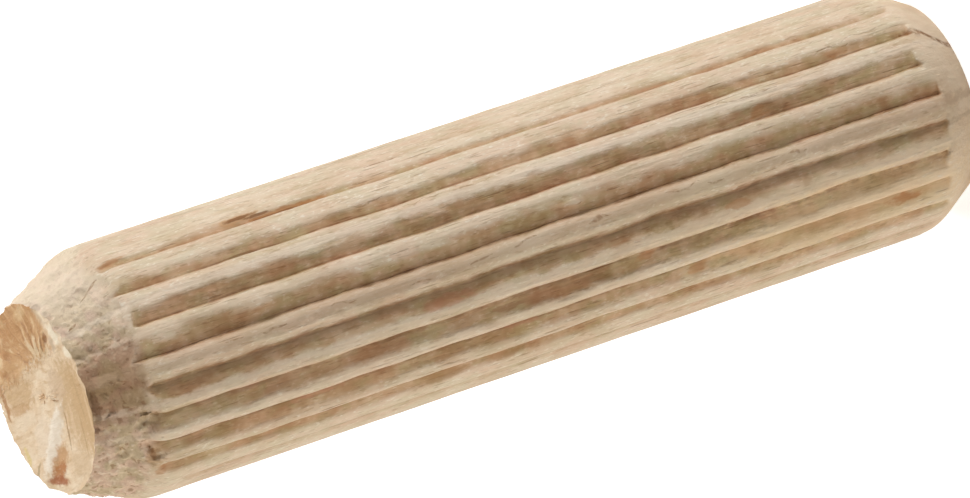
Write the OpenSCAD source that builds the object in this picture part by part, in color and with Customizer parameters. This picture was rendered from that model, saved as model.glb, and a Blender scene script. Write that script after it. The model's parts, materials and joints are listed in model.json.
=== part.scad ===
// Fluted wooden dowel pin, turned and pressed from one piece of beech.
// It stands on its clean end, with the torn end up. The axis of the pin is +Z.
// The origin is the centre of the clean end's flat face.

/* [Pin] */
// Diameter over the lands, which is the size of the hole that the pin is pressed into
pin_d = 10; // [8:0.5:16]
// Length from end to end
pin_l = 40; // [25:1:80]

/* [Flutes] */
// Number of straight flutes around the shaft
flute_count = 24; // [12:1:26]
// Width of a flute at the surface of the shaft, between the shoulders
flute_w = 0.76; // [0.5:0.02:0.84]
// Depth of a flute below the lands
flute_depth = 0.36; // [0.2:0.02:0.6]
// Radius of the rounded root of a flute
flute_root_r = 0.14; // [0.08:0.01:0.2]
// Distance of the flutes' square ends from the clean end
flute_stop_h = 2.0; // [1.2:0.1:2.2]

/* [Clean end] */
// Height of the taper at the clean end
clean_taper_h = 1.75; // [1:0.05:4]
// How far that taper comes in from the shaft's wall
clean_taper_in = 1.0; // [0.6:0.05:2]
// Length over which the clean end's corner is rounded, each way from the corner
clean_round_l = 0.6; // [0.3:0.05:0.9]

/* [Torn end] */
// Height of the taper at the torn end
torn_taper_h = 2.9; // [1.5:0.1:5]
// How far that taper comes in from the shaft's wall
torn_taper_in = 1.2; // [0.8:0.05:2]
// Length over which the torn end's corner is rounded, each way from the corner
torn_round_l = 1.0; // [0.4:0.05:1.4]
// Depth of the hollow that the torn fibres left in the end face
hollow_depth = 0.25; // [0.1:0.05:0.6]
// Width of the unbroken lip around the hollow
hollow_lip_w = 0.15; // [0.05:0.05:0.5]

/* [Finish] */
// Segments of each rounded corner's profile
round_steps = 5; // [3:1:8]

/* [Hidden] */
$fn = 96;

beech = [0.82, 0.71, 0.57];
// How far a cutter runs past the wood
past = 1;

pin_r = pin_d / 2;
clean_face_r = pin_r - clean_taper_in;
torn_face_r = pin_r - torn_taper_in;
clean_corner = [pin_r, clean_taper_h];
torn_corner = [pin_r, pin_l - torn_taper_h];
// The hollow is a shallow cap of a large sphere, with its rim just inside the end face
hollow_rim_r = torn_face_r - hollow_lip_w;
hollow_sphere_r = (pow(hollow_rim_r, 2) + pow(hollow_depth, 2)) / (2 * hollow_depth);

// Point at distance d from point p towards point q
function toward(p, q, d) = p + (q - p) * d / norm(q - p);

// Corner b between a and c, rounded by a curve that leaves it l before and after
function rounded(a, b, c, l) =
    let (from = toward(b, a, l), to = toward(b, c, l))
    [for (i = [0 : round_steps])
        let (t = i / round_steps)
        from * pow(1 - t, 2) + b * 2 * t * (1 - t) + to * pow(t, 2)];

// Half of the pin's lengthwise section, from the axis outwards
function pin_profile() =
    let (clean_rim = [clean_face_r, 0], torn_rim = [torn_face_r, pin_l])
    concat(
        [[0, 0], clean_rim],
        rounded(clean_rim, clean_corner, torn_corner, clean_round_l),
        rounded(clean_corner, torn_corner, torn_rim, torn_round_l),
        [torn_rim, [0, pin_l]]
    );

// The turned blank, before it is fluted
module blank() {
    rotate_extrude()
        polygon(pin_profile());
}

// Section of one flute's cutter on the X axis: straight flanks on a round root
module flute_section() {
    root_x = pin_r - flute_depth + flute_root_r;
    out_x = pin_r + past;
    // The flanks meet the surface of the shaft at half the flute's width
    slope = (flute_w / 2 - flute_root_r) / (pin_r - root_x);
    out_y = flute_root_r + slope * (out_x - root_x);
    translate([root_x, 0])
        circle(r = flute_root_r);
    polygon([
        [root_x, -flute_root_r],
        [out_x, -out_y],
        [out_x, out_y],
        [root_x, flute_root_r]
    ]);
}

// All the flutes, from their square ends to past the torn end
module flutes() {
    for (i = [0 : flute_count - 1])
        rotate([0, 0, i * 360 / flute_count])
            translate([0, 0, flute_stop_h])
                linear_extrude(height = pin_l - flute_stop_h + past)
                    flute_section();
}

// The hollow in the torn end face
module torn_hollow() {
    translate([0, 0, pin_l - hollow_depth + hollow_sphere_r])
        sphere(r = hollow_sphere_r);
}

module dowel_pin() {
    color(beech)
        difference() {
            blank();
            flutes();
            torn_hollow();
        }
}

dowel_pin();
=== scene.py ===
"""A fluted dowel pin of beech, turned and pressed from one piece, standing on its clean end."""

import json
import logging
import math
from dataclasses import dataclass, field
from enum import Enum

import bpy
import numpy as np
from mathutils import Matrix, Vector, noise


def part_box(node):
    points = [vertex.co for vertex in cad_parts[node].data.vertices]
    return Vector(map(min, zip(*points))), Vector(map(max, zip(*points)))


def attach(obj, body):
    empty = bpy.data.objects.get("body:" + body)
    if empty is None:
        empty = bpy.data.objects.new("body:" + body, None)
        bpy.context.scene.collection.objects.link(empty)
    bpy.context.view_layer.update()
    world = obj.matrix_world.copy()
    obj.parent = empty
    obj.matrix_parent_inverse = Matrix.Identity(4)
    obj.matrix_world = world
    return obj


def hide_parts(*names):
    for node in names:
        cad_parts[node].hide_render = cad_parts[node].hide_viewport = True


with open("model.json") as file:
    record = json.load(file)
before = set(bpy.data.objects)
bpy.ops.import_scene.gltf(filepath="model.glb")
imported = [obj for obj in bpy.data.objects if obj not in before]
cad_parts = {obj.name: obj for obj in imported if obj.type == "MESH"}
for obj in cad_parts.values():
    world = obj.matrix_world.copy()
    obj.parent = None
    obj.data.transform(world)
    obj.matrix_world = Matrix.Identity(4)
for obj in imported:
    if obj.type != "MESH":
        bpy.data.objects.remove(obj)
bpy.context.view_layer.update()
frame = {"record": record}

LOG = logging.getLogger("dowel_pin")
MM = 0.001
NODE = "dowel_pin"
PIECE = "pressed_pin"
BODY = "root"
SHAFT_MOUNT = "shaft"
WHITE = (1, 1, 1, 1)
# The middle of the torn fibres' fan on the face, in millimetres
FAN_MIDDLE = (0.9, -0.3)

Object = bpy.types.Object
Node = bpy.types.Node
Socket = bpy.types.NodeSocket
Sockets = bpy.types.NodeOutputs
Value = Socket | float | tuple[float, ...]
Tint = tuple[int, int, int]
Spot = tuple[float, float]
Range = tuple[float, float]
Sizes = tuple[float, float, float]


class Zone(Enum):
    """The parts of the pin's skin that are finished apart, in the order of their material slots."""

    SHAFT = 0
    TORN_END = 1


class Trait(Enum):
    """Values that the mesh keeps at its vertices for the materials to read."""

    # The burnished flute floors and long walls, which the shaft's material also darkens as painted shade
    PRESSED = "pressed"
    # Nearness to the foot of each steep wall, where the shaft's material paints shade in the crease
    FOOT = "foot_line"
    CRUSHED = "crushed"


# Helpers for modelling


def work_on(obj: Object) -> None:
    """Selects one object alone and makes it the active one."""
    bpy.ops.object.select_all(action="DESELECT")
    obj.select_set(True)
    bpy.context.view_layer.objects.active = obj


def points_of(obj: Object) -> np.ndarray:
    """Reads a mesh's vertices.

    Args:
        obj: The mesh object.

    Returns:
        One row of x, y and z for each vertex, in metres.
    """
    flat = np.zeros(len(obj.data.vertices) * 3)
    obj.data.vertices.foreach_get("co", flat)
    return flat.reshape(-1, 3)


def move_points(obj: Object, points: np.ndarray) -> None:
    """Writes a mesh's vertices back.

    Args:
        obj: The mesh object.
        points: One row of x, y and z for each vertex, in metres.
    """
    obj.data.vertices.foreach_set("co", points.ravel())
    obj.data.update()


def mm(*sizes: float) -> tuple[float, ...]:
    """Turns sizes in millimetres into metres."""
    return tuple(size * MM for size in sizes)


@dataclass(frozen=True)
class Lumps:
    """Smooth random values that rise and fall over given distances.

    The sizes of the lumps are in the unit of the places that they are worked out at. The seed moves the
    values to another stretch of their pattern, and each octave adds a layer of finer lumps. The gain is
    roughly how far the values go either way.
    """

    sizes: Sizes
    seed: int
    octaves: int = 1
    gain: float = 1.0

    # How far apart two seeds lie, and how much finer and fainter each octave is than the last
    stride = 7.3
    fineness = 2.0
    falling = 1.0

    def at(self, points: np.ndarray) -> np.ndarray:
        """Works out the value at each place.

        Args:
            points: Places, one row each.

        Returns:
            Values on either side of 0, one for each place.
        """
        scaled = points / np.array(self.sizes) + self.seed * self.stride
        kind = (self.falling, self.fineness, self.octaves)
        return self.gain * np.array([noise.fractal(Vector(row), *kind) for row in scaled.tolist()])

    def share(self, points: np.ndarray) -> np.ndarray:
        """The values on either side of a half, kept within 0 and 1."""
        return np.clip(0.5 + self.at(points), 0, 1)


def smooth_step(value: np.ndarray, low: float, high: float) -> np.ndarray:
    """Rises smoothly from 0 at low to 1 at high."""
    t = np.clip((value - low) / (high - low), 0.0, 1.0)
    return t * t * (3.0 - 2.0 * t)


def keep_value(obj: Object, trait: Trait, values: np.ndarray) -> None:
    """Keeps a value at each vertex for the materials to read.

    Args:
        obj: The mesh object.
        trait: What the value is.
        values: One value for each vertex.
    """
    attribute = obj.data.attributes.new(trait.value, "FLOAT", "POINT")
    attribute.data.foreach_set("value", values.astype(np.float32))


# The wood


@dataclass
class Skin:
    """Where each vertex of the turned blank lies, before anything is pressed into it.

    The column's angle is in degrees, and leaves out how the flutes wobble.
    """

    points: np.ndarray
    column_angle: np.ndarray
    radius: np.ndarray
    height: np.ndarray

    @property
    def angle(self) -> np.ndarray:
        """Each vertex's angle about the pin's axis."""
        return np.arctan2(self.points[:, 1], self.points[:, 0])


@dataclass
class Blank:
    """The turned blank: a round bar with a taper at each end. All sizes are in metres.

    The shift and the stretch move the torn end's rim along X and Y. The columns run along the pin, and the
    spacings are between the vertices of one column.
    """

    radius: float
    length: float
    clean_taper_h: float = 1.75 * MM
    clean_taper_in: float = 1.0 * MM
    clean_round: float = 0.6 * MM
    torn_taper_h: float = 2.75 * MM
    torn_taper_in: float = 1.2 * MM
    torn_round: float = 0.55 * MM
    torn_shift: tuple[float, float] = (-0.14 * MM, 0.2 * MM)
    torn_stretch: tuple[float, float] = (1.0, 1.115)
    columns: int = 384
    clean_steps: int = 14
    torn_steps: int = 12
    face_spacing: float = 0.5 * MM
    taper_spacing: float = 0.2 * MM
    body_spacing: float = 0.25 * MM
    crushed_spacing: float = 0.1 * MM
    torn_spacing: float = 0.11 * MM
    weld: float = 0.001 * MM

    @property
    def clean_face_r(self) -> float:
        """Radius of the clean end's flat face."""
        return self.radius - self.clean_taper_in

    @property
    def torn_face_r(self) -> float:
        """Radius of the torn end's face."""
        return self.radius - self.torn_taper_in

    @staticmethod
    def corner(before: Vector, at: Vector, after: Vector, reach: float, steps: int) -> list[Vector]:
        """Rounds one corner of the profile.

        Args:
            before: The corner before it.
            at: The corner to round.
            after: The corner after it.
            reach: How far before and after the corner the curve starts and ends.
            steps: How many pieces the curve has.

        Returns:
            The points of the curve.
        """
        start = at + (before - at).normalized() * reach
        end = at + (after - at).normalized() * reach
        shares = [i / steps for i in range(steps + 1)]
        return [start * (1 - t) ** 2 + at * 2 * t * (1 - t) + end * t**2 for t in shares]

    @staticmethod
    def divided(start: Vector, end: Vector, spacing: float) -> list[Vector]:
        """Divides a straight stretch of the outline evenly, without its end point."""
        count = max(1, round((end - start).length / spacing))
        return [start.lerp(end, i / count) for i in range(count)]

    def outline(self) -> list[Vector]:
        """Lays out half of the lengthwise section, from the clean end's centre to the torn end's.

        Returns:
            Points on the XZ plane, close enough together for the relief that they carry.
        """
        clean_middle = Vector((0, 0, 0))
        clean_rim = Vector((self.clean_face_r, 0, 0))
        clean_corner = Vector((self.radius, 0, self.clean_taper_h))
        torn_corner = Vector((self.radius, 0, self.length - self.torn_taper_h))
        torn_rim = Vector((self.torn_face_r, 0, self.length))
        torn_middle = Vector((0, 0, self.length))
        low = self.corner(clean_rim, clean_corner, torn_corner, self.clean_round, self.clean_steps)
        high = self.corner(clean_corner, torn_corner, torn_rim, self.torn_round, self.torn_steps)
        runs = [
            self.divided(clean_middle, clean_rim, self.face_spacing),
            self.divided(clean_rim, low[0], self.taper_spacing),
            low[:-1],
            self.divided(low[-1], high[0], self.body_spacing),
            high[:-1],
            self.divided(high[-1], torn_rim, self.crushed_spacing),
            self.divided(torn_rim, torn_middle, self.torn_spacing),
        ]
        return sum(runs, []) + [torn_middle]

    def turn(self, name: str) -> Object:
        """Draws the outline and turns it round the pin's axis.

        Args:
            name: The new object's name.

        Returns:
            The blank as a closed mesh, with its normals outwards.
        """
        outline = self.outline()
        bpy.ops.object.select_all(action="DESELECT")
        bpy.ops.mesh.primitive_plane_add(size=MM, location=outline[0])
        obj = bpy.context.object
        obj.name = obj.data.name = name
        bpy.ops.object.mode_set(mode="EDIT")
        bpy.ops.mesh.select_all(action="SELECT")
        bpy.ops.mesh.merge(type="CENTER")
        for here, there in zip(outline, outline[1:]):
            bpy.ops.mesh.extrude_region_move(TRANSFORM_OT_translate={"value": there - here})
        bpy.ops.object.mode_set(mode="OBJECT")
        lathe = obj.modifiers.new("lathe", "SCREW")
        lathe.angle = math.tau
        lathe.steps = lathe.render_steps = self.columns
        work_on(obj)
        bpy.ops.object.modifier_apply(modifier=lathe.name)
        bpy.ops.object.mode_set(mode="EDIT")
        bpy.ops.mesh.select_all(action="SELECT")
        bpy.ops.mesh.remove_doubles(threshold=self.weld)
        bpy.ops.mesh.normals_make_consistent(inside=False)
        bpy.ops.object.mode_set(mode="OBJECT")
        return obj


@dataclass(frozen=True)
class Flute:
    """One flute: a steep wall down from a lip, a floor, and a long wall up to the next land.

    The lip is an angle about the pin, and the walls and the floor are widths, all in degrees. The way is 1
    if they follow the lip and -1 if they come before it. The depth is a share of the full depth. The stop
    is the height of the square end, the flute dies out at a distance below the torn end, and it fades over
    a length, all in millimetres. The higher the lip's curve, the rounder the lip and the sharper the foot
    of its wall.
    """

    lip: float
    way: int
    depth: float
    steep_wall: float
    floor: float
    long_wall: float
    stop: float
    dies: float
    fade: float
    lip_curve: float = 2.6

    @property
    def breaks(self) -> list[float]:
        """The angles at which the walls and the floor start and end, in rising order."""
        widths = np.cumsum([0.0, self.steep_wall, self.floor, self.long_wall])
        return sorted((self.lip + self.way * widths).tolist())

    def off(self, angle: np.ndarray) -> np.ndarray:
        """How far into the flute each angle lies from the lip, in degrees."""
        return self.way * ((angle - self.lip + 180) % 360 - 180)


@dataclass
class Flutes:
    """The straight flutes that two rollers pressed into the shaft, from the front and from the back.

    A roller presses straight down, so each flute has a steep wall on the side of the roller's middle
    ridge and a long wall on the other, and the flutes grow shallow towards the flanks. The wobble and the
    ripple turn the columns of vertices aside, in degrees. The ranges of the burnished wall, which the
    shaft's material also darkens as painted shade, and of the painted shade at the foot are shares of the
    steep wall's width or, for the foot shade's fall, of the floor's. The back's walls and ends are the
    lowest and the highest values that its flutes draw.
    """

    depth: float = 0.34 * MM
    floor_rise: float = 0.12
    curve: float = 1.15
    swell: Lumps = Lumps(mm(1.6, 1.6, 3.2), 5, 4, 0.26)
    ragged: Lumps = Lumps(mm(0.55, 0.55, 1.2), 11, 4, 0.5)
    wobble: Lumps = Lumps(mm(3, 3, 7), 3, 4, 0.35)
    ripple: Lumps = Lumps(mm(1.2, 1.2, 2.2), 29, 3, 0.6)
    clean_fade: float = 0.42
    clean_reach: float = 6 * MM
    run_out_lift: float = 1.15
    stop_ramp: float = 0.1 * MM
    stop_rag: Lumps = Lumps(mm(0.5, 0.5, 0.5), 13, gain=0.3 * MM)
    burnished_and_shaded_wall: Range = (0.7, 1.0)
    foot_shade_rise: Range = (0.36, 0.85)
    foot_shade_fall: Range = (0.2, 1.2)
    foot_shade_gain: float = 1.1
    front_ridge: float = -96.1
    back_ridge: float = 83.8
    back_half: float = 2.5
    back_pitch: float = 15.0
    back_depths: tuple[float, ...] = (1.0, 1.0, 0.85, 0.55, 0.25, 0.12)
    back_spread: Range = (0.9, 1.1)
    back_walls: tuple[Sizes, Sizes] = ((3.6, 1.5, 4.8), (4.8, 3.5, 6.2))
    back_ends: tuple[Sizes, Sizes] = ((1.6, 1.9, 0.4), (2.1, 2.5, 1.3))
    bulge: float = 0.04 * MM
    bulge_power: int = 4
    columns: int = 16
    wall_columns: tuple[int, int, int] = (5, 2, 6)
    seed: int = 126455
    front: tuple[Flute, ...] = (
        Flute(-171.7, -1, 0.1, 4.0, 2.0, 4.0, 1.8, 2.6, 1.5),
        Flute(-156.7, -1, 0.22, 4.0, 1.5, 5.0, 1.8, 2.5, 1.3),
        Flute(-142.2, -1, 0.65, 4.0, 1.6, 5.2, 1.78, 1.9, 0.9),
        Flute(-128.1, -1, 0.82, 4.4, 1.4, 6.6, 1.76, 1.3, 0.7),
        Flute(-113.3, -1, 0.88, 4.7, 2.4, 6.7, 1.95, 1.6, 0.7),
        Flute(-96.9, -1, 1.02, 6.9, 1.2, 7.3, 1.6, 2.0, 0.5, 1.8),
        Flute(-95.4, 1, 1.0, 5.0, 0.5, 9.2, 1.7, 1.8, 0.7, 2.0),
        Flute(-79.6, 1, 0.9, 4.7, 1.2, 8.0, 2.1, 2.35, 0.35),
        Flute(-63.8, 1, 0.8, 6.0, 0.9, 5.8, 1.65, 1.9, 1.0),
        Flute(-45.8, 1, 0.4, 4.4, 1.2, 3.8, 2.0, 1.9, 0.7),
        Flute(-33.2, 1, 0.14, 4.0, 1.0, 4.0, 2.0, 2.5, 1.5),
        Flute(-20.0, 1, 0.1, 4.0, 2.0, 4.0, 2.0, 2.6, 1.5),
    )

    def back(self) -> list[Flute]:
        """Draws the flutes of the back roller, in rising order of angle."""
        draws = np.random.default_rng(self.seed)
        flutes = []
        for way in (-1, 1):
            for index, share in enumerate(self.back_depths):
                lip = self.back_ridge + way * (self.back_half + index * self.back_pitch)
                depth = share * draws.uniform(*self.back_spread)
                steep, floor, long_wall = draws.uniform(*self.back_walls)
                stop, dies, fade = draws.uniform(*self.back_ends)
                flutes.append(Flute(lip, way, depth, steep, floor, long_wall, stop, dies, fade))
        return sorted(flutes, key=lambda flute: flute.lip)

    def whole(self) -> list[Flute]:
        """All the flutes, in rising order of angle."""
        return [*self.front, *self.back()]

    def set_out(self) -> np.ndarray:
        """Places the columns of vertices, closer together where a wall is steep.

        Returns:
            The angle of each column in degrees.
        """
        flutes = self.whole()
        angles = []
        for flute, after in zip(flutes, flutes[1:] + flutes[:1]):
            steps = self.wall_columns[:: flute.way]
            knots = np.cumsum([0, *steps, self.columns - sum(steps)])
            end = after.breaks[0]
            breaks = [*flute.breaks, end if end > flute.breaks[-1] else end + 360]
            angles.append(np.interp(np.arange(self.columns), knots, breaks))
        return np.concatenate(angles)

    def bulged(self, skin: Skin, blank: Blank) -> np.ndarray:
        """How far the wood gave way sideways between the rollers, on the two flanks of the shaft."""
        shaft = smooth_step(skin.height, 0.0, blank.clean_taper_h)
        shaft = shaft * (1 - smooth_step(skin.height, blank.length - blank.torn_taper_h, blank.length))
        return np.sin(np.radians(skin.column_angle - self.front_ridge)) ** self.bulge_power * shaft

    def pressed(self, skin: Skin, blank: Blank) -> tuple[np.ndarray, np.ndarray, np.ndarray]:
        """Works out how deep the rollers pressed at each vertex.

        Args:
            skin: The blank's skin.
            blank: The blank's sizes.

        Returns:
            Shares of the flutes' full depth, the same for the floors and the long walls alone, which the
            shaft's material tints as burnished wood and painted shade, and how near each vertex is to the
            foot of a steep wall, where the shaft's material paints shade.
        """
        ragged = self.ragged.at(skin.points)
        stop_rag = self.stop_rag.at(skin.points)
        swell = 1 + self.swell.at(skin.points)
        swell = swell * (1 - self.clean_fade * (1 - smooth_step(skin.height, 0.0, self.clean_reach)))
        whole, burnished_and_shaded, foot = np.zeros((3, len(skin.height)))
        for flute in self.whole():
            off = flute.off(skin.column_angle)
            wall = off / flute.steep_wall
            floor = (off - flute.steep_wall) / flute.floor
            out = (off - flute.steep_wall - flute.floor) / (flute.long_wall * (1 + ragged))
            shape = np.clip(wall, 0, 1) ** flute.lip_curve * (1 - self.floor_rise * np.clip(floor, 0, 1))
            shape = shape * (1 - np.clip(out, 0, 1)) ** self.curve * flute.depth * swell
            left = blank.length - flute.dies * MM - skin.height
            run_out = 1 - np.clip(left / (flute.fade * MM), 0, 1)
            shape = np.clip(shape - self.run_out_lift * run_out, 0, None)
            stop = flute.stop * MM + stop_rag
            shape = shape * smooth_step(skin.height, stop, stop + self.stop_ramp)
            # The foot of the steep wall, where the shaft's material paints shade
            near = smooth_step(wall, *self.foot_shade_rise) * (1 - smooth_step(floor, *self.foot_shade_fall))
            whole = np.maximum(whole, shape)
            # The burnished floors and long walls, which the shaft's material also darkens and warms as
            # painted shade
            burnished_and_shaded = np.maximum(burnished_and_shaded, shape * smooth_step(wall, *self.burnished_and_shaded_wall))
            foot = np.maximum(foot, near * np.clip(self.foot_shade_gain * shape, 0, 1))
        return whole, burnished_and_shaded, foot


@dataclass(frozen=True)
class Relief:
    """One layer of relief, pressed in along the skin's normals by a weighted Displace modifier.

    A depth below zero raises the skin instead.
    """

    name: str
    depth: float

    # A share below this leaves a vertex where it is
    least = 1e-4

    def press(self, obj: Object, weights: np.ndarray) -> None:
        """Presses the layer into a mesh and applies it.

        Args:
            obj: The mesh object.
            weights: The share of the depth at each vertex.
        """
        group = obj.vertex_groups.new(name=self.name)
        for index in np.flatnonzero(weights > self.least).tolist():
            group.add([index], weights[index], "REPLACE")
        modifier = obj.modifiers.new(self.name, "DISPLACE")
        modifier.vertex_group = self.name
        modifier.strength = -self.depth
        modifier.mid_level = 0.0
        work_on(obj)
        bpy.ops.object.modifier_apply(modifier=modifier.name)
        obj.vertex_groups.remove(obj.vertex_groups[self.name])


@dataclass
class TornEnd:
    """The broken end: a shallow dish with a fold across it, fibres torn out in a fan, and a ragged lip.

    The depths are in metres. Places on the face, the fold's sides and waves, the fan's reach and the widths
    of the lip and the gap are in millimetres, and so are the ranges of the facet, the fold and the fan.
    """

    face_edge: float = 0.25 * MM
    round_power: int = 4
    dish: float = 0.2 * MM
    fold: float = 0.16 * MM
    fold_start: Spot = (-0.5, -0.9)
    fold_end: Spot = (-2.9, 2.0)
    fold_sides: Range = (0.3, 1.1)
    fold_wave: Lumps = Lumps((0.9, 0.9, 1.0), 31, 3, 0.16)
    fold_grows: Range = (-0.9, 1.4)
    facet: float = 0.1 * MM
    facet_edge: Range = (0.1, 0.5)
    facet_slope: Range = (0.5, 2.6)
    facet_least: float = 0.4
    fan: float = 0.13 * MM
    fan_middle: Spot = FAN_MIDDLE
    fan_stroke: tuple[float, float] = (math.radians(13), 1.3)
    fan_strokes: Lumps = Lumps((1.0, 1.0, 1.0), 41, 3, 0.8)
    fan_bend: float = 0.12
    fan_rag: Lumps = Lumps((0.8, 0.8, 1.0), 37, 2, 0.3)
    fan_edge: Range = (0.1, 0.9)
    tears: float = 0.045 * MM
    tear_lumps: Lumps = Lumps((0.35, 0.8, 1.0), 48, 3, 0.8)
    facet_smooth: float = 0.8
    lip: float = 0.22 * MM
    lip_middle: float = math.radians(-50)
    lip_spread: float = math.radians(38)
    lip_width: float = 0.3
    lip_slant: float = 0.5
    lip_rag: Lumps = Lumps(mm(0.6, 0.6, 0.4), 51, 3, 0.9)
    gap: float = 0.16 * MM
    gap_middle: float = math.radians(-107)
    gap_spread: float = math.radians(11)
    gap_place: Spot = (0.16, 0.09)
    crush: float = 0.15 * MM
    crush_lumps: Lumps = Lumps(mm(0.55, 0.55, 0.55), 61, 4, 0.7)
    crush_edge: Lumps = Lumps(mm(0.9, 0.9, 0.9), 27, 3, 0.35 * MM)
    crush_reach: Range = (2.5 * MM, 1.9 * MM)
    crumbs: float = 0.1 * MM
    crumb_size: float = 0.36 * MM
    crumb_bend: Lumps = Lumps(mm(0.3, 0.3, 0.3), 83, 2, 0.1 * MM)
    crumb_groove: float = 0.5
    crumb_power: float = 1.5
    crumb_patches: Lumps = Lumps(mm(0.8, 0.8, 0.8), 71, 2)
    crumb_range: Range = (-0.1, 0.45)
    chip: float = 0.16 * MM
    chip_angle: float = math.radians(-138)
    chip_height: float = 37.7 * MM
    chip_radius: float = 0.3 * MM
    chip_rag: Lumps = Lumps(mm(0.25, 0.25, 0.35), 91, 3, 1.2)
    chip_edge: Range = (0.3, 1.3)

    def on_face(self, skin: Skin, blank: Blank) -> np.ndarray:
        """1 on the torn face, falling to 0 over its rim."""
        inside = skin.height > blank.length - blank.crushed_spacing / 2
        rim = blank.torn_face_r
        return inside * (1 - smooth_step(skin.radius, rim - self.face_edge, rim))

    def crushed(self, skin: Skin, blank: Blank) -> np.ndarray:
        """How crushed the wood is at each vertex of the taper."""
        low, high = (blank.length - reach for reach in self.crush_reach)
        return smooth_step(skin.height + self.crush_edge.at(skin.points), low, high)

    def round_about(self, skin: Skin, middle: float, spread: float) -> np.ndarray:
        """1 at an angle about the pin, falling to 0 on either side of it."""
        off = (skin.angle - middle + math.pi) % math.tau - math.pi
        return np.exp(-((off / spread) ** self.round_power))

    def fold_relief(self, place: np.ndarray) -> tuple[np.ndarray, np.ndarray]:
        """Lays out the fold and the smooth facet beyond it.

        Args:
            place: Places on the face, with a third column of zeros.

        Returns:
            The height of the fold's crest, and the share of the facet, at each place.
        """
        start, end = np.array(self.fold_start), np.array(self.fold_end)
        along = (end - start) / np.linalg.norm(end - start)
        across = np.array([-along[1], along[0]])
        beyond = (place[:, :2] - start) @ across + self.fold_wave.at(place)
        passed = (place[:, :2] - start) @ along
        steep, gentle = self.fold_sides
        crest = np.exp(-((beyond / np.where(beyond > 0, steep, gentle)) ** 2))
        rise = smooth_step(beyond, *self.facet_slope)
        facet = smooth_step(beyond, *self.facet_edge) * (self.facet_least + (1 - self.facet_least) * rise)
        return crest * smooth_step(passed, *self.fold_grows), facet

    def fan_relief(self, place: np.ndarray) -> np.ndarray:
        """Lays out the strokes that spread in a fan over the upper part of the face.

        Args:
            place: Places on the face, with a third column of zeros.

        Returns:
            The share of the strokes' depth at each place.
        """
        up, left = (place[:, axis] - self.fan_middle[axis] for axis in (0, 1))
        width, length = self.fan_stroke
        strokes = np.column_stack([np.arctan2(left, up) / width, np.hypot(up, left) / length, up * 0])
        reach = up + self.fan_bend * np.abs(left) + self.fan_rag.at(place)
        return self.fan_strokes.share(strokes) * smooth_step(reach, *self.fan_edge)

    def crumb_relief(self, skin: Skin) -> np.ndarray:
        """Lays out crumbs of crushed wood with grooves between them.

        Args:
            skin: The blank's skin.

        Returns:
            The share of the grooves' depth at each vertex.
        """
        bent = skin.points + self.crumb_bend.at(skin.points)[:, None]
        gaps = []
        for row in (bent / self.crumb_size).tolist():
            near, next_near = noise.voronoi(Vector(row))[0][:2]
            gaps.append(next_near - near)
        grooves = 1 - smooth_step(np.array(gaps), 0.0, self.crumb_groove)
        broken = smooth_step(self.crumb_patches.at(skin.points), *self.crumb_range)
        return grooves**self.crumb_power * broken

    def layers(self, skin: Skin, blank: Blank) -> list[tuple[Relief, np.ndarray]]:
        """Lays out the relief of the end and its taper.

        Args:
            skin: The blank's skin.
            blank: The blank's sizes.

        Returns:
            Each layer with its weights.
        """
        place = skin.points / MM * (1, 1, 0)
        face = self.on_face(skin, blank)
        taper = self.crushed(skin, blank) * (1 - face)
        crest, facet = self.fold_relief(place)
        dish = np.clip(1 - (skin.radius / blank.torn_face_r) ** 2, 0, 1)
        tears = self.tear_lumps.share(place)
        below_rim = (blank.length - skin.height) / MM
        from_rim = np.abs(blank.torn_face_r - skin.radius) / MM + self.lip_slant * below_rim
        lip = self.round_about(skin, self.lip_middle, self.lip_spread) * self.lip_rag.share(skin.points)
        gap_at, gap_width = self.gap_place
        gap = self.round_about(skin, self.gap_middle, self.gap_spread) * (below_rim > 0)
        chip = self.blank_point(blank, self.chip_angle, self.chip_height) - skin.points
        chip = np.linalg.norm(chip, axis=1) / self.chip_radius + self.chip_rag.at(skin.points)
        return [
            (Relief("dish", self.dish), dish * face),
            (Relief("facet", self.facet), facet * face),
            (Relief("fold", -self.fold), crest * face),
            (Relief("fan", self.fan), self.fan_relief(place) * face),
            (Relief("tears", self.tears), tears * face * (1 - self.facet_smooth * facet)),
            (Relief("lip", -self.lip), lip * np.exp(-((from_rim / self.lip_width) ** 2))),
            (Relief("gap", self.gap), gap * np.exp(-(((below_rim - gap_at) / gap_width) ** 2))),
            (Relief("crush", self.crush), self.crush_lumps.share(skin.points) * taper),
            (Relief("crumbs", self.crumbs), self.crumb_relief(skin) * taper),
            (Relief("chip", self.chip), 1 - smooth_step(chip, *self.chip_edge)),
        ]

    def blank_point(self, blank: Blank, angle: float, height: float) -> np.ndarray:
        """Finds the point of the torn taper's skin at an angle and a height."""
        share = (blank.length - height) / blank.torn_taper_h
        radius = blank.torn_face_r + share * blank.torn_taper_in
        return np.array([radius * math.cos(angle), radius * math.sin(angle), height])


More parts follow.
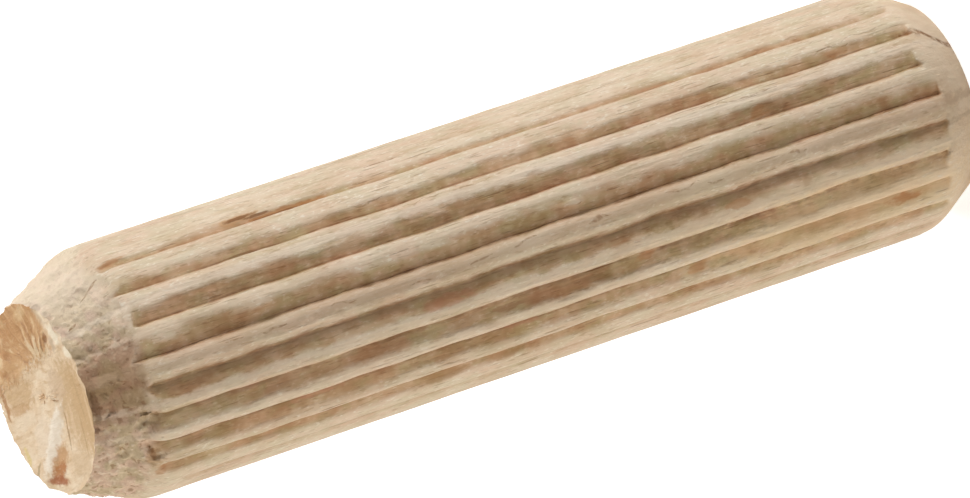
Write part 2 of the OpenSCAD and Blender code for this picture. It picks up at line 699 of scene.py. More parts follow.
@dataclass
class DowelPin:
    """The whole pin: the turned blank, its flutes, its crushed taper and its torn end."""

    blank: Blank
    flutes: Flutes = field(default_factory=Flutes)
    torn_end: TornEnd = field(default_factory=TornEnd)
    fibres: float = 0.02 * MM
    fibre_lumps: Lumps = Lumps(mm(0.3, 0.3, 3), 21, 2, 0.7)
    fibre_start: Range = (1.5 * MM, 2.5 * MM)
    land_edge: Range = (0.0, 0.12)
    face_slack: float = 0.01 * MM
    crease: float = math.radians(60)

    def build(self) -> Object:
        """Models the pin.

        Returns:
            The finished mesh object.
        """
        obj = self.blank.turn(PIECE)
        skin = self.lay_out(obj)
        pressed, burnished_and_shaded, foot = self.flutes.pressed(skin, self.blank)
        crushed = self.torn_end.crushed(skin, self.blank)
        land = (1 - smooth_step(pressed, *self.land_edge)) * (1 - crushed)
        land = land * smooth_step(skin.height, *self.fibre_start)
        Relief("flutes", self.flutes.depth).press(obj, pressed)
        Relief("bulge", -self.flutes.bulge).press(obj, self.flutes.bulged(skin, self.blank))
        Relief("fibres", self.fibres).press(obj, self.fibre_lumps.share(skin.points) * land)
        for relief, weights in self.torn_end.layers(skin, self.blank):
            relief.press(obj, weights)
        # The burnished floors and long walls, also painted darker and warmer as shade deepening with the
        # flutes
        keep_value(obj, Trait.PRESSED, np.clip(burnished_and_shaded, 0, 1))
        # The foot of each steep wall, for the painted shade there
        keep_value(obj, Trait.FOOT, foot)
        keep_value(obj, Trait.CRUSHED, crushed)
        self.dress(obj, skin)
        work_on(obj)
        bpy.ops.object.shade_smooth_by_angle(angle=self.crease)
        return obj

    def lay_out(self, obj: Object) -> Skin:
        """Moves the columns of vertices to their places among the flutes.

        Args:
            obj: The turned blank.

        Returns:
            The skin, with each vertex's place.
        """
        points = points_of(obj)
        radius = np.hypot(points[:, 0], points[:, 1])
        turned = np.arctan2(points[:, 1], points[:, 0]) % math.tau
        column = np.round(turned / math.tau * self.blank.columns).astype(int) % self.blank.columns
        column_angle = self.flutes.set_out()[column]
        aside = self.flutes.wobble.at(points), self.flutes.ripple.at(points)
        angle = np.radians(column_angle + aside[0] + aside[1])
        height = points[:, 2].copy()
        share = smooth_step(height, self.blank.length - self.blank.torn_taper_h, self.blank.length)
        for axis, turned_to in enumerate((np.cos(angle), np.sin(angle))):
            stretch = 1 + share * (self.blank.torn_stretch[axis] - 1)
            points[:, axis] = radius * turned_to * stretch + share * self.blank.torn_shift[axis]
        move_points(obj, points)
        return Skin(points, column_angle, radius, height)

    def dress(self, obj: Object, skin: Skin) -> None:
        """Gives the pin its materials, with the torn end's own on the end face.

        Args:
            obj: The mesh object.
            skin: The blank's skin.
        """
        patterns = WoodPatterns()
        obj.data.materials.append(ShaftWood().make(patterns))
        obj.data.materials.append(TornWood().make(patterns))
        torn = skin.height > self.blank.length - self.face_slack
        for polygon in obj.data.polygons:
            inside = all(torn[index] for index in polygon.vertices)
            polygon.material_index = (Zone.TORN_END if inside else Zone.SHAFT).value


# The studio


@dataclass(frozen=True)
class Lamp:
    """A soft area lamp that looks at the middle of the pin.

    The turn and the lift are in degrees, the distance and the sizes in metres and the power in watts. The
    tint multiplies its red, green and blue.
    """

    name: str
    turn: float
    lift: float
    distance: float
    width: float
    height: float
    power: float
    tint: Sizes = (1.0, 1.0, 1.0)

    def hang(self, aim: Vector) -> None:
        """Adds the lamp.

        Args:
            aim: The point that the lamp faces.
        """
        data = bpy.data.lights.new(self.name, "AREA")
        data.shape = "RECTANGLE"
        data.size = self.width
        data.size_y = self.height
        data.energy = self.power
        data.color = self.tint
        lamp = bpy.data.objects.new(self.name, data)
        turn, lift = math.radians(self.turn), math.radians(self.lift)
        out = Vector((math.cos(lift) * math.cos(turn), math.cos(lift) * math.sin(turn), math.sin(lift)))
        lamp.location = aim + out * self.distance
        lamp.rotation_euler = out.to_track_quat("Z", "Y").to_euler()
        bpy.context.scene.collection.objects.link(lamp)


@dataclass
class Studio:
    """The floor, the lamps, the background and the camera.

    Its sizes and distances are in metres and its angles in degrees, but the lens and its sensor are in
    millimetres.
    """

    aim: Vector = field(default_factory=lambda: Vector((-0.079, 0.002, 20.348)) * MM)
    view_turn: float = 1.2
    view_lift: float = 25.56
    view_roll: float = -108.52
    view_distance: float = 399.54 * MM
    lens: float = 382.0
    sensor: float = 36.0
    clip_start: float = 0.01
    floor_size: float = 6.0
    floor_colour: tuple[float, float, float, float] = (0.8, 0.8, 0.8, 1)
    floor_glow: float = 0.6
    world_level: float = 0.05
    lamps: tuple[Lamp, ...] = (
        Lamp("right_lamp", -18, 24, 0.6, 0.16, 0.4, 2.56, (0.98, 1.0, 1.04)),
        Lamp("left_lamp", -171, 22, 0.6, 0.32, 0.4, 2.0, (1.0, 0.97, 0.91)),
        Lamp("front_lamp", -60, 60, 0.7, 0.5, 0.5, 0.16, (1.0, 0.96, 0.88)),
        Lamp("back_lamp", 80, 50, 0.6, 0.2, 0.2, 1.7),
    )

    def set_up(self) -> None:
        """Builds the whole studio."""
        self.lay_floor()
        self.surround()
        self.light()
        self.place_camera()
        bpy.context.scene.view_settings.view_transform = "Standard"

    @staticmethod
    def seen(sheet: "NodeSheet") -> Socket:
        """1 for what the camera sees, in the open or in a reflection, and 0 for light on the pin."""
        path = sheet.node("ShaderNodeLightPath")
        return sheet.math("MAXIMUM", path.outputs["Is Camera Ray"], path.outputs["Is Glossy Ray"])

    def lay_floor(self) -> None:
        """Lays a plain pale floor that looks white and keeps the pin's shadow."""
        bpy.ops.object.select_all(action="DESELECT")
        bpy.ops.mesh.primitive_plane_add(size=self.floor_size, location=(0, 0, 0))
        floor = bpy.context.object
        floor.name = "floor"
        sheet = MaterialSheet("pale_floor")
        glow = sheet.times(self.seen(sheet), self.floor_glow)
        material = sheet.finish(
            Base_Color=self.floor_colour,
            Roughness=1.0,
            Specular_IOR_Level=0.0,
            Emission_Color=WHITE,
            Emission_Strength=glow,
        )
        floor.data.materials.append(material)

    def surround(self) -> None:
        """Puts an even white world round the scene, bright to the eye and faint as a light."""
        world = bpy.data.worlds.new("studio")
        bpy.context.scene.world = world
        world.use_nodes = True
        sheet = NodeSheet(world.node_tree)
        back = world.node_tree.nodes["Background"]
        back.inputs["Color"].default_value = WHITE
        levels = {"Value": self.seen(sheet), "To Min": self.world_level, "To Max": 1.0}
        sheet.feed(back.inputs["Strength"], sheet.wired("ShaderNodeMapRange", levels, "Result"))

    def light(self) -> None:
        """Hangs a soft lamp on either side of the pin, one high in front of it and one behind its top."""
        for lamp in self.lamps:
            lamp.hang(self.aim)

    def place_camera(self) -> None:
        """Looks at the pin from the front and above, with the camera rolled so that the pin lies across."""
        turn, lift = math.radians(self.view_turn), math.radians(self.view_lift)
        back = Vector((-math.sin(turn) * math.cos(lift), -math.cos(turn) * math.cos(lift), math.sin(lift)))
        data = bpy.data.cameras.new("camera")
        data.lens = self.lens
        data.sensor_width = self.sensor
        data.clip_start = self.clip_start
        camera = bpy.data.objects.new("camera", data)
        upright = back.to_track_quat("Z", "Y").to_matrix().to_4x4()
        roll = Matrix.Rotation(math.radians(self.view_roll), 4, "Z")
        camera.matrix_world = Matrix.Translation(self.aim + back * self.view_distance) @ upright @ roll
        bpy.context.scene.collection.objects.link(camera)
        bpy.context.scene.camera = camera


# The finishes


class Mix(Enum):
    """What a coat does to the colour under it."""

    COVER = "MIX"
    DARKEN = "MULTIPLY"


@dataclass(frozen=True)
class Coat:
    """A colour, with how strongly and in what way it is laid over another."""

    tint: Tint
    share: float = 1.0
    mix: Mix = Mix.COVER


@dataclass(frozen=True)
class Speckle:
    """Soft noise, by the sizes of its lumps in millimetres.

    Its mask goes from 0 where the noise is at the low value to 1 where it is at the high one. The aside
    moves it to another stretch of the pattern.
    """

    sizes: Sizes
    detail: float
    roughness: float
    low: float = 0.0
    high: float = 1.0
    aside: Sizes = (0.0, 0.0, 0.0)


def shade(tint: Tint) -> tuple[float, float, float, float]:
    """Turns a colour as seen on a screen, each part 0 to 255, into the linear colour that shaders use."""
    parts = [c / 255 for c in tint]
    linear = [c / 12.92 if c <= 0.04045 else ((c + 0.055) / 1.055) ** 2.4 for c in parts]
    return (*linear, 1.0)


class NodeSheet:
    """Writes shader nodes into one node tree."""

    def __init__(self, tree: bpy.types.NodeTree) -> None:
        """Keeps the tree that the nodes go into."""
        self.tree = tree

    def node(self, kind: str, **settings: object) -> Node:
        """Adds a node.

        Args:
            kind: The node's type, such as ShaderNodeMath.
            settings: Values for the node's own properties.

        Returns:
            The new node.
        """
        made = self.tree.nodes.new(kind)
        for name, value in settings.items():
            setattr(made, name, value)
        return made

    def feed(self, socket: Socket, value: Value) -> None:
        """Links an output to an input, or sets the input's own value."""
        if isinstance(value, Socket):
            self.tree.links.new(value, socket)
        else:
            socket.default_value = value

    def wired(self, kind: str, inputs: dict, output: int | str = 0, **settings: object) -> Socket:
        """Adds a node, feeds its inputs by name or number, and gives one of its outputs."""
        made = self.node(kind, **settings)
        for key, value in inputs.items():
            self.feed(made.inputs[key], value)
        return made.outputs[output]

    def math(self, operation: str, first: Value, second: Value = 0.0) -> Socket:
        """Works out one number from two."""
        return self.wired("ShaderNodeMath", {0: first, 1: second}, operation=operation)

    def times(self, first: Value, second: Value) -> Socket:
        """Multiplies two numbers."""
        return self.math("MULTIPLY", first, second)

    def plus(self, first: Value, second: Value) -> Socket:
        """Adds two numbers."""
        return self.math("ADD", first, second)

    def vector(self, operation: str, first: Value, second: Value) -> Socket:
        """Works out a vector from two."""
        return self.wired("ShaderNodeVectorMath", {0: first, 1: second}, "Vector", operation=operation)

    def scaled(self, vector: Value, scale: Value) -> Socket:
        """Multiplies a vector by a number."""
        return self.wired("ShaderNodeVectorMath", {0: vector, "Scale": scale}, "Vector", operation="SCALE")

    def number(self, operation: str, first: Value, second: Value = (0, 0, 0)) -> Socket:
        """Works out a number, such as a length, from one or two vectors."""
        return self.wired("ShaderNodeVectorMath", {0: first, 1: second}, "Value", operation=operation)

    def parts(self, vector: Value) -> Sockets:
        """Takes a vector apart into X, Y and Z."""
        made = self.node("ShaderNodeSeparateXYZ")
        self.feed(made.inputs[0], vector)
        return made.outputs

    def joined(self, x: Value, y: Value) -> Socket:
        """Joins two numbers into a vector, with 0 for its Z."""
        return self.wired("ShaderNodeCombineXYZ", {"X": x, "Y": y})

    def stretch(self, vector: Value, sizes: Value) -> Socket:
        """Divides a vector by a size for each axis, so that one unit of a pattern takes that size."""
        return self.vector("DIVIDE", vector, sizes)

    def noise(self, vector: Value, detail: float, roughness: float, output: str = "Fac") -> Socket:
        """Soft noise of about 0 to 1, one lump to a unit."""
        inputs = {"Vector": vector, "Scale": 1.0, "Detail": detail, "Roughness": roughness}
        return self.wired("ShaderNodeTexNoise", inputs, output)

    def speckle(self, vector: Value, look: Speckle, output: str = "Fac") -> Socket:
        """Makes a speckle's noise, as a number or a Color."""
        moved = self.vector("ADD", vector, look.aside) if any(look.aside) else vector
        return self.noise(self.stretch(moved, look.sizes), look.detail, look.roughness, output)

    def step(self, value: Value, low: Value, high: Value, start: float = 0.0, end: float = 1.0) -> Socket:
        """Goes smoothly from the start where the value is low to the end where it is high."""
        inputs = {"Value": value, "From Min": low, "From Max": high, "To Min": start, "To Max": end}
        return self.wired("ShaderNodeMapRange", inputs, interpolation_type="SMOOTHSTEP")

    def mask(self, noise: Value, look: Speckle, least: float = 0.0) -> Socket:
        """Turns a speckle's noise into its mask, from the least value to 1."""
        return self.step(noise, look.low, look.high, least, 1.0)

    def blend(self, share: Value, first: Value, second: Value, mix: Mix = Mix.COVER) -> Socket:
        """Mixes two colours."""
        inputs = {0: share, 6: first, 7: second}
        return self.wired("ShaderNodeMix", inputs, 2, data_type="RGBA", blend_type=mix.value)

    def between(self, share: Value, first: Value, second: Value) -> Socket:
        """Mixes two numbers."""
        return self.wired("ShaderNodeMix", {0: share, 2: first, 3: second}, data_type="FLOAT")

    def coat(self, colour: Value, coat: Coat, mask: Value, part: Value | None = None) -> Socket:
        """Lays a coat over a colour.

        Args:
            colour: The colour under it.
            coat: The coat.
            mask: Where it is laid, 0 to 1.
            part: A second mask, if there is one.

        Returns:
            The mixed colour.
        """
        share = mask if coat.share == 1 else self.times(mask, coat.share)
        share = share if part is None else self.times(share, part)
        return self.blend(share, colour, shade(coat.tint), coat.mix)

    def bump(self, height: Value, distance: float) -> Socket:
        """Turns a height of about 0 to 1 into a bent normal."""
        return self.wired("ShaderNodeBump", {"Distance": distance, "Height": height}, "Normal")

    def trait(self, trait: Trait) -> Socket:
        """Reads a value that the mesh keeps at its vertices."""
        return self.node("ShaderNodeAttribute", attribute_name=trait.value).outputs["Fac"]

    def place(self, group: bpy.types.NodeTree, **values: Value) -> Node:
        """Places a node group.

        Args:
            group: The group.
            values: A value or link for each of its inputs, with underscores for spaces.

        Returns:
            The group's node.
        """
        made = self.node("ShaderNodeGroup", node_tree=group)
        for name, value in values.items():
            self.feed(made.inputs[name.replace("_", " ")], value)
        return made


class MaterialSheet(NodeSheet):
    """Writes a new material around its Principled shader."""

    def __init__(self, name: str) -> None:
        """Starts the material."""
        self.material = bpy.data.materials.new(name)
        self.material.use_nodes = True
        super().__init__(self.material.node_tree)

    def where(self) -> Socket:
        """The place on the piece, in millimetres."""
        return self.stretch(self.node("ShaderNodeTexCoord").outputs["Object"], (MM, MM, MM))

    def finish(self, **values: Value) -> bpy.types.Material:
        """Sets or links the shader's inputs, with underscores for spaces, and hands the material over."""
        shader = self.tree.nodes["Principled BSDF"]
        for name, value in values.items():
            self.feed(shader.inputs[name.replace("_", " ")], value)
        return self.material


class GroupSheet(NodeSheet):
    """Writes a shader node group, with its named inputs and outputs."""

    def __init__(self, name: str, inputs: dict[str, str], outputs: dict[str, str]) -> None:
        """Starts the group. Each socket's kind is Float, Vector or Color."""
        super().__init__(bpy.data.node_groups.new(name, "ShaderNodeTree"))
        for sockets, direction in ((inputs, "INPUT"), (outputs, "OUTPUT")):
            for socket, kind in sockets.items():
                self.tree.interface.new_socket(socket, in_out=direction, socket_type="NodeSocket" + kind)
        self.inlets = self.node("NodeGroupInput").outputs
        self.outlets = self.node("NodeGroupOutput").inputs

    def finish(self, **values: Value) -> bpy.types.NodeTree:
        """Feeds the group's outputs and hands the group over."""
        for name, value in values.items():
            self.feed(self.outlets[name.replace("_", " ")], value)
        return self.tree


# Fibres along the pin, rollers' marks across them, and crushed wood with no direction of its own
FIBRES = {
    "Tone": Speckle((1.0, 1.0, 4.5), 3.0, 0.55, 0.32, 0.68),
    "Streaks": Speckle((0.2, 0.2, 2.2), 3.0, 0.6, 0.3, 0.7),
    "Lines": Speckle((0.11, 0.11, 2.2), 1.0, 0.5, 0.68, 0.75),
    "Pores": Speckle((0.08, 0.08, 0.5), 1.0, 0.4, 0.6, 0.72),
    "Flecks": Speckle((0.1, 0.1, 0.26), 2.0, 0.5, 0.56, 0.7),
}
ROLLER_MARKS = {
    "Bruise": Speckle((1.6, 1.6, 2.6), 4.0, 0.62, 0.4, 0.66, (31, 17, 5)),
    "Patches": Speckle((0.9, 0.9, 1.3), 3.0, 0.6, 0.4, 0.64),
    "Blush": Speckle((0.8, 0.8, 1.8), 2.0, 0.5, 0.48, 0.68, (31, 17, 5)),
    "Fine": Speckle((1.0, 1.0, 0.5), 1.0, 0.4, 0.35, 0.65),
}
CRUMB_SHADES = Speckle((0.5, 0.5, 0.5), 4.0, 0.62, 0.32, 0.68)
CRUMB_BLOTCHES = Speckle((0.9, 0.9, 0.7), 1.0, 0.5, 0.42, 0.58)
# The crumb grains also raise the crushed relief; the taper paints their tops as highlights and the low
# spots between them as shade
CRUMB_GRAINS = Speckle((0.24, 0.24, 0.24), 1.5, 0.5, 0.56, 0.72)
CRUMB_SPECKS = Speckle((0.08, 0.08, 0.08), 2.0, 0.6)
EDGE = Speckle((0.25, 0.25, 0.6), 3.0, 0.6)
WANDER = Speckle((0.6, 0.6, 0.8), 1.0, 0.5)


@dataclass
class WoodPatterns:
    """The node groups that the pin's finishes share. Their vectors are in millimetres."""

    wander: Sizes = (0.45, 0.45, 0.0)
    line_cut: float = 0.2
    # The range of grain values painted as shade in the crumbs' low spots
    pit_shade_grains: Range = (0.42, 0.3)
    grain_height: float = 0.7
    speck_height: float = 0.3
    line_swell: float = 2.4
    line_least: float = 0.4
    line_core: float = 0.2
    patch_rag: float = 2.2
    patch_edge: Range = (0.55, 1.15)

    def __post_init__(self) -> None:
        """Builds each group once."""
        self.pin_place = self.make_pin_place()
        self.grain = self.make_grain()
        self.bands = self.make_bands()
        self.crumbs = self.make_crumbs()
        self.line = self.make_line()
        self.patch = self.make_patch()

    def make_pin_place(self) -> bpy.types.NodeTree:
        """The place on the shaft: the distance round it from +X, and the height, straight and wandering."""
        inputs = {"Vector": "Vector", "Radius": "Float"}
        outputs = {"Place": "Vector", "Wandering": "Vector", "Edge": "Float"}
        sheet = GroupSheet("place on the pin", inputs, outputs)
        vector = sheet.inlets["Vector"]
        parts = sheet.parts(vector)
        angle = sheet.math("ARCTAN2", parts["Y"], parts["X"])
        place = sheet.joined(sheet.times(angle, sheet.inlets["Radius"]), parts["Z"])
        bend = sheet.speckle(vector, WANDER, "Color")
        centred = sheet.vector("SUBTRACT", bend, (0.5, 0.5, 0.5))
        wandering = sheet.vector("ADD", place, sheet.vector("MULTIPLY", centred, self.wander))
        edge = sheet.math("SUBTRACT", sheet.speckle(vector, EDGE), 0.5)
        return sheet.finish(Place=place, Wandering=wandering, Edge=edge)

    def make_grain(self) -> bpy.types.NodeTree:
        """Fibres along the vector's third axis, as masks for their tones and marks, and their relief."""
        sheet = GroupSheet("wood grain", {"Vector": "Vector"}, dict.fromkeys([*FIBRES, "Height"], "Float"))
        noises = {name: sheet.speckle(sheet.inlets["Vector"], look) for name, look in FIBRES.items()}
        masks = {name: sheet.mask(noises[name], look) for name, look in FIBRES.items()}
        cut = sheet.times(masks["Lines"], self.line_cut)
        return sheet.finish(Height=sheet.math("SUBTRACT", noises["Streaks"], cut), **masks)

    def make_bands(self) -> bpy.types.NodeTree:
        """Patches where the rollers bore harder and softer, and faint bands across the fibres."""
        sheet = GroupSheet("cross bands", {"Vector": "Vector"}, dict.fromkeys(ROLLER_MARKS, "Float"))
        vector = sheet.inlets["Vector"]
        marks = {name: sheet.mask(sheet.speckle(vector, look), look) for name, look in ROLLER_MARKS.items()}
        return sheet.finish(**marks)

    def make_crumbs(self) -> bpy.types.NodeTree:
        """Crushed and broken fibres, with no direction of their own, and masks for painted highlights on
        the raised grains and painted shade in the low spots between them.
        """
        names = ("Shade", "Blotches", "Pale", "Dark", "Height")
        sheet = GroupSheet("crushed fibres", {"Vector": "Vector"}, dict.fromkeys(names, "Float"))
        vector = sheet.inlets["Vector"]
        grains = sheet.speckle(vector, CRUMB_GRAINS)
        specks = sheet.times(sheet.speckle(vector, CRUMB_SPECKS), self.speck_height)
        return sheet.finish(
            Shade=sheet.mask(sheet.speckle(vector, CRUMB_SHADES), CRUMB_SHADES),
            Blotches=sheet.mask(sheet.speckle(vector, CRUMB_BLOTCHES), CRUMB_BLOTCHES),
            Pale=sheet.mask(grains, CRUMB_GRAINS),
            Dark=sheet.step(grains, *self.pit_shade_grains),
            Height=sheet.plus(sheet.times(grains, self.grain_height), specks),
        )

    def make_line(self) -> bpy.types.NodeTree:
        """A thin line from one place to another, widest in its middle."""
        inputs = {"Place": "Vector", "From": "Vector", "To": "Vector", "Width": "Float"}
        sheet = GroupSheet("hairline", inputs, {"Mask": "Float"})
        start = sheet.inlets["From"]
        reach = sheet.vector("SUBTRACT", sheet.inlets["Place"], start)
        whole = sheet.vector("SUBTRACT", sheet.inlets["To"], start)
        passed = sheet.number("DOT_PRODUCT", reach, whole)
        share = sheet.math("DIVIDE", passed, sheet.number("DOT_PRODUCT", whole, whole))
        held = sheet.math("MINIMUM", sheet.math("MAXIMUM", share, 0.0), 1.0)
        nearest = sheet.scaled(whole, held)
        gap = sheet.number("LENGTH", sheet.vector("SUBTRACT", reach, nearest))
        swell = sheet.times(sheet.times(held, sheet.math("SUBTRACT", 1.0, held)), self.line_swell)
        width = sheet.times(sheet.inlets["Width"], sheet.plus(swell, self.line_least))
        return sheet.finish(Mask=sheet.step(gap, sheet.times(width, self.line_core), width, 1.0, 0.0))

    def make_patch(self) -> bpy.types.NodeTree:
        """An oval patch, turned about its middle, with a soft uneven edge."""
        inputs = {"Place": "Vector", "Middle": "Vector", "Size": "Vector", "Turn": "Float", "Edge": "Float"}
        sheet = GroupSheet("patch", inputs, {"Mask": "Float"})
        away = sheet.vector("SUBTRACT", sheet.inlets["Place"], sheet.inlets["Middle"])
        turn = {"Vector": away, "Angle": sheet.times(sheet.inlets["Turn"], -1.0)}
        turned = sheet.wired("ShaderNodeVectorRotate", turn, rotation_type="Z_AXIS")
        reach = sheet.number("LENGTH", sheet.stretch(turned, sheet.inlets["Size"]))
        uneven = sheet.plus(reach, sheet.times(sheet.inlets["Edge"], self.patch_rag))
        return sheet.finish(Mask=sheet.step(uneven, *self.patch_edge, 1.0, 0.0))


@dataclass(frozen=True)
class Crack:
    """A dark hairline in the shaft, from one place to another.

    A place is an angle about the pin in degrees and a height in millimetres. The width is in millimetres.
    """

    start: Spot
    end: Spot
    width: float = 0.05
    strength: float = 0.5


@dataclass(frozen=True)
class StainOrPaintedLight:
    """A darker or a paler patch on the shaft, at an angle in degrees and a height in millimetres. Most are
    stains; some are painted highlights and painted shade.

    Its sizes are half widths round the shaft and along it, in millimetres.
    """

    angle: float
    height: float
    sizes: Spot
    strength: float
    tint: Tint = (190, 128, 76)


BRUISED: Tint = (232, 219, 204)
# Painted light on the crushed taper: its crumbs' tops and its +X side
CRUSHED_PAINTED_LIGHT: Tint = (242, 222, 195)


